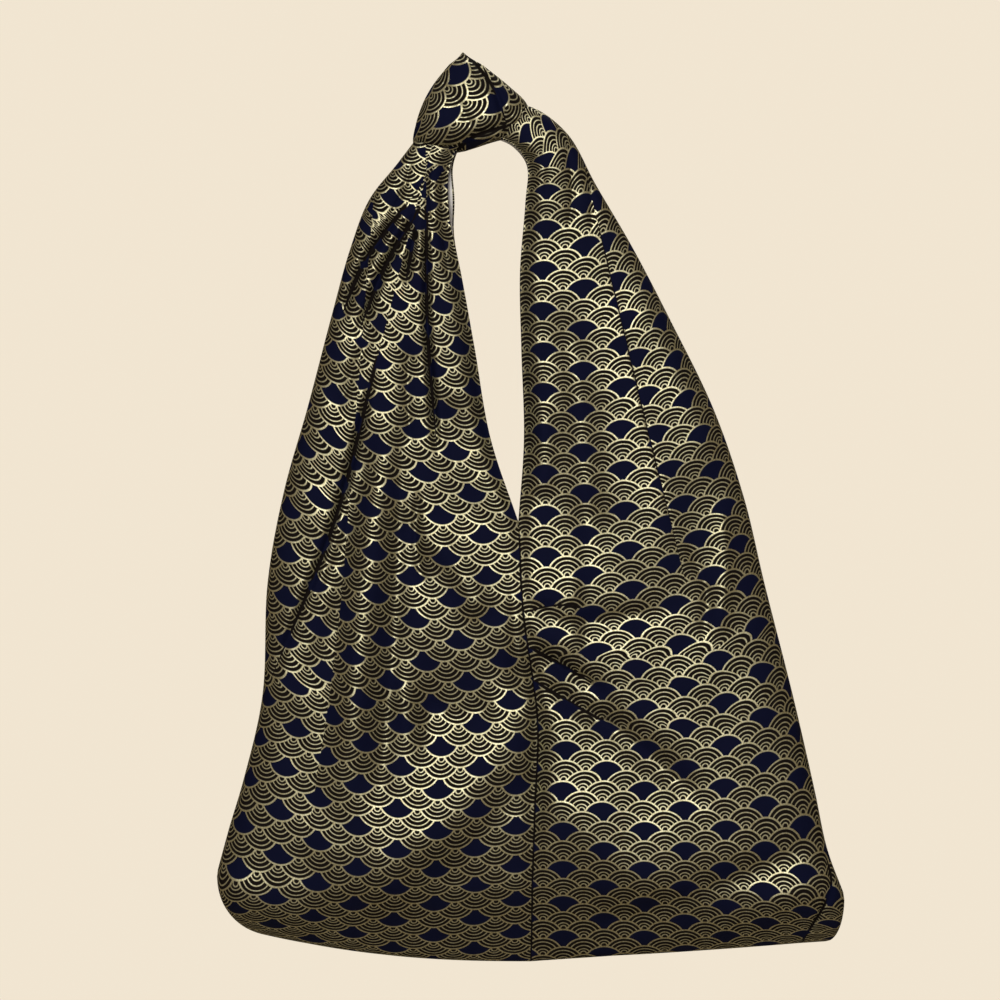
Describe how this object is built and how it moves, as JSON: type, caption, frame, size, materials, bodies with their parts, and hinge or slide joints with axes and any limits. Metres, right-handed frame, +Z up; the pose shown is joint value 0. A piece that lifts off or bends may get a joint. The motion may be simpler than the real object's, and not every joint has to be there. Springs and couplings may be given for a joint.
{
  "type": "knot bag",
  "caption": "Soft cotton shoulder bag of paired panels sewn at a centre seam, its horn-shaped straps tied in a knot above a V-shaped mouth, hanging by its loop",
  "frame": {"origin": "underside of the strap loop, where a hook or a shoulder holds the bag", "axes": "+Z up, +X to the right of the front face, -Y out of the front face"},
  "size_m": [0.47, 0.12, 0.682],
  "materials": {
    "printed_cotton": "navy cotton with a gold foil wave-scale print, pale plain reverse"
  },
  "bodies": {
    "root": {"left_panel": "printed_cotton", "right_panel": "printed_cotton", "knot": "printed_cotton"}
  },
  "joints": []
}
